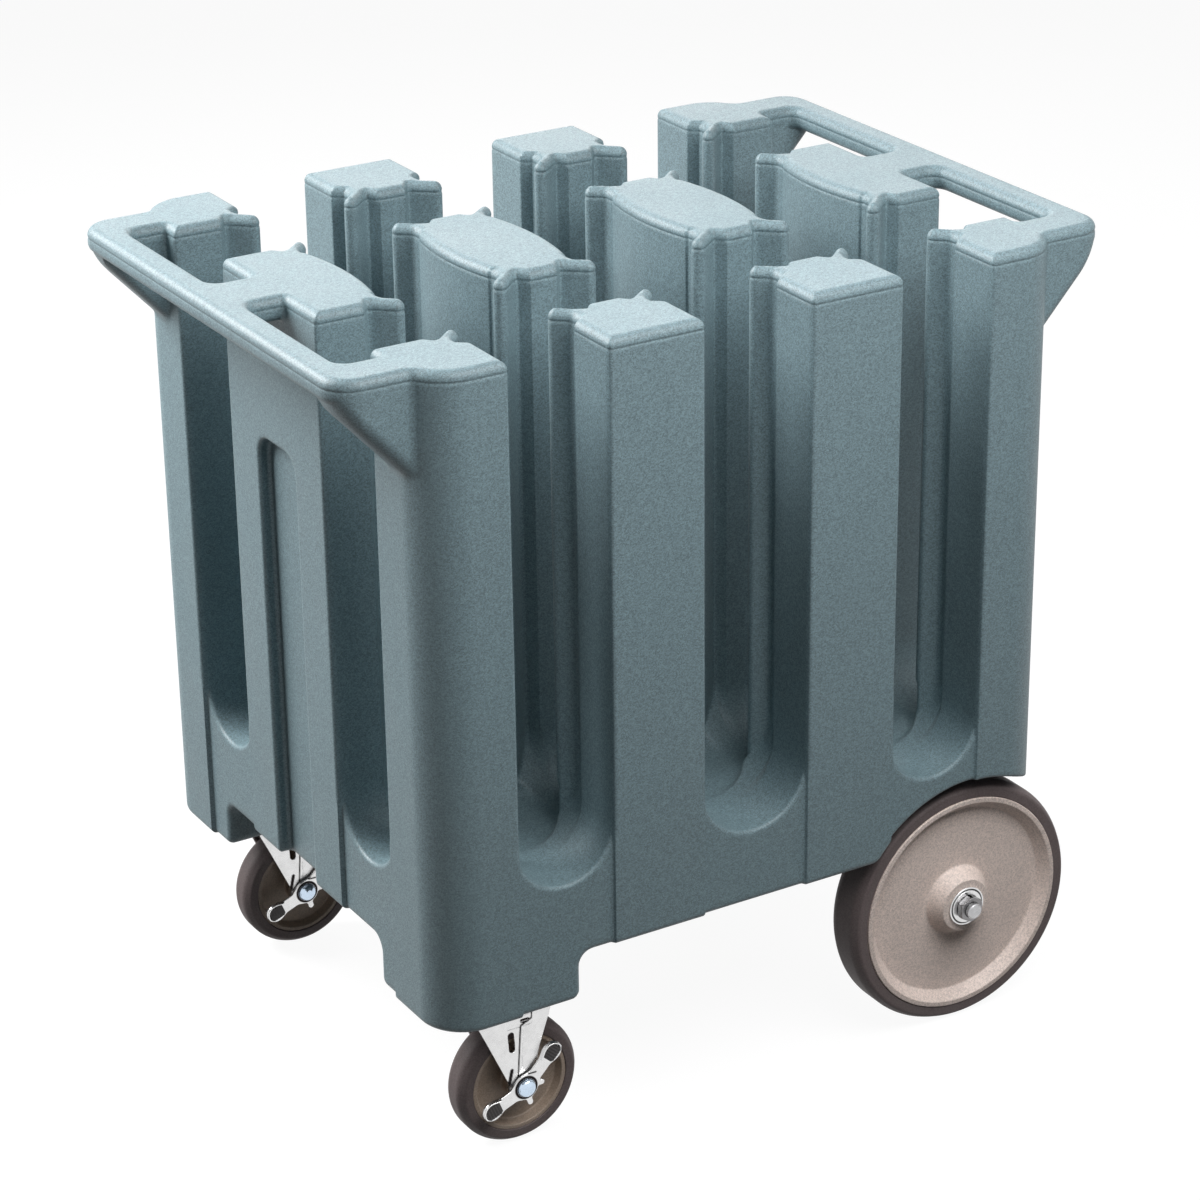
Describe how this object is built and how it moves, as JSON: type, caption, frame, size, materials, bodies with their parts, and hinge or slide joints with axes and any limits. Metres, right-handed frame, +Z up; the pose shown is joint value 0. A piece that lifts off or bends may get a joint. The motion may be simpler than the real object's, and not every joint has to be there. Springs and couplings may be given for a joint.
{
  "type": "plate dispenser cart",
  "caption": "Moulded cart with open post-sided wells for stacks of plates, a bar handle at each end, large fixed rear wheels and braked swivel casters.",
  "frame": {"origin": "on the floor under the middle of the cart's box", "axes": "+X towards the end with the two large wheels, -X towards the casters, +Z up"},
  "size_m": [0.806, 0.592, 0.795],
  "materials": {
    "body_plastic": "fine pebbled, satin",
    "axle_steel": "bright drawn",
    "wheel_disc": "moulded, satin",
    "rear_tread": "matt, dusty",
    "bearing_steel": "ground",
    "washer_steel": "zinc plated",
    "nut_steel": "zinc plated",
    "zinc_steel": "bright zinc plated",
    "bolt_steel": "zinc plated",
    "insert_brass": "turned",
    "ball_steel": "polished",
    "caster_core": "moulded, satin",
    "caster_tread": "matt",
    "pad_rubber": "matt"
  },
  "bodies": {
    "cart": {"body_moulding": "body_plastic", "rear_axle": "axle_steel", "rear_left_inner_washer": "washer_steel", "rear_left_outer_washer": "washer_steel", "rear_left_nut": "nut_steel", "rear_right_inner_washer": "washer_steel", "rear_right_outer_washer": "washer_steel", "rear_right_nut": "nut_steel", "front_left_plate": "zinc_steel", "front_left_mount_bolts": "bolt_steel", "front_left_inserts": "insert_brass", "front_left_kingpin": "nut_steel", "front_right_plate": "zinc_steel", "front_right_mount_bolts": "bolt_steel", "front_right_inserts": "insert_brass", "front_right_kingpin": "nut_steel"},
    "rear_left_roller": {"rear_left_wheel": "wheel_disc", "rear_left_tyre": "rear_tread", "rear_left_bearing": "bearing_steel"},
    "rear_right_roller": {"rear_right_wheel": "wheel_disc", "rear_right_tyre": "rear_tread", "rear_right_bearing": "bearing_steel"},
    "front_left_swivel": {"front_left_balls": "ball_steel", "front_left_fork": "zinc_steel", "front_left_axle_bolt": "zinc_steel", "front_left_nut": "nut_steel"},
    "front_left_roller": {"front_left_wheel": "caster_core", "front_left_tyre": "caster_tread", "front_left_bush": "bearing_steel"},
    "front_left_rocker": {"front_left_pedal": "zinc_steel", "front_left_pedal_pads": "pad_rubber"},
    "front_left_slider": {"front_left_brake_shoe": "nut_steel"},
    "front_right_swivel": {"front_right_balls": "ball_steel", "front_right_fork": "zinc_steel", "front_right_axle_bolt": "zinc_steel", "front_right_nut": "nut_steel"},
    "front_right_roller": {"front_right_wheel": "caster_core", "front_right_tyre": "caster_tread", "front_right_bush": "bearing_steel"},
    "front_right_rocker": {"front_right_pedal": "zinc_steel", "front_right_pedal_pads": "pad_rubber"},
    "front_right_slider": {"front_right_brake_shoe": "nut_steel"}
  },
  "joints": [
    {"name": "rear_left_spin", "type": "hinge", "parent": "cart", "child": "rear_left_roller", "pos_m": [0.25, -0.252, 0.127], "axis": [0, 1, 0], "continuous": true},
    {"name": "rear_right_spin", "type": "hinge", "parent": "cart", "child": "rear_right_roller", "pos_m": [0.25, 0.252, 0.127], "axis": [0, 1, 0], "continuous": true},
    {"name": "front_left_swivel_turn", "type": "hinge", "parent": "cart", "child": "front_left_swivel", "pos_m": [-0.252, -0.225, 0.148], "axis": [0, 0, 1], "continuous": true},
    {"name": "front_left_spin", "type": "hinge", "parent": "front_left_swivel", "child": "front_left_roller", "pos_m": [-0.232, -0.225, 0.0635], "axis": [0, 1, 0], "continuous": true},
    {"name": "front_left_pedal_rock", "type": "hinge", "parent": "front_left_swivel", "child": "front_left_rocker", "pos_m": [-0.232, -0.225, 0.0635], "axis": [0, 1, 0], "range_deg": [0, 24]},
    {"name": "front_left_brake_push", "type": "slide", "parent": "front_left_swivel", "child": "front_left_slider", "axis": [0, 1, 0], "range_m": [0, 0.001]},
    {"name": "front_right_swivel_turn", "type": "hinge", "parent": "cart", "child": "front_right_swivel", "pos_m": [-0.252, 0.225, 0.148], "axis": [0, 0, 1], "continuous": true},
    {"name": "front_right_spin", "type": "hinge", "parent": "front_right_swivel", "child": "front_right_roller", "pos_m": [-0.232, 0.225, 0.0635], "axis": [0, 1, 0], "continuous": true},
    {"name": "front_right_pedal_rock", "type": "hinge", "parent": "front_right_swivel", "child": "front_right_rocker", "pos_m": [-0.232, 0.225, 0.0635], "axis": [0, 1, 0], "range_deg": [0, 24]},
    {"name": "front_right_brake_push", "type": "slide", "parent": "front_right_swivel", "child": "front_right_slider", "axis": [0, 1, 0], "range_m": [0, 0.001]}
  ],
  "couplings": [
    {"joint": "front_left_brake_push", "follows": "front_left_pedal_rock", "m_per_rad": 0.002387},
    {"joint": "front_right_brake_push", "follows": "front_right_pedal_rock", "m_per_rad": 0.002387}
  ]
}
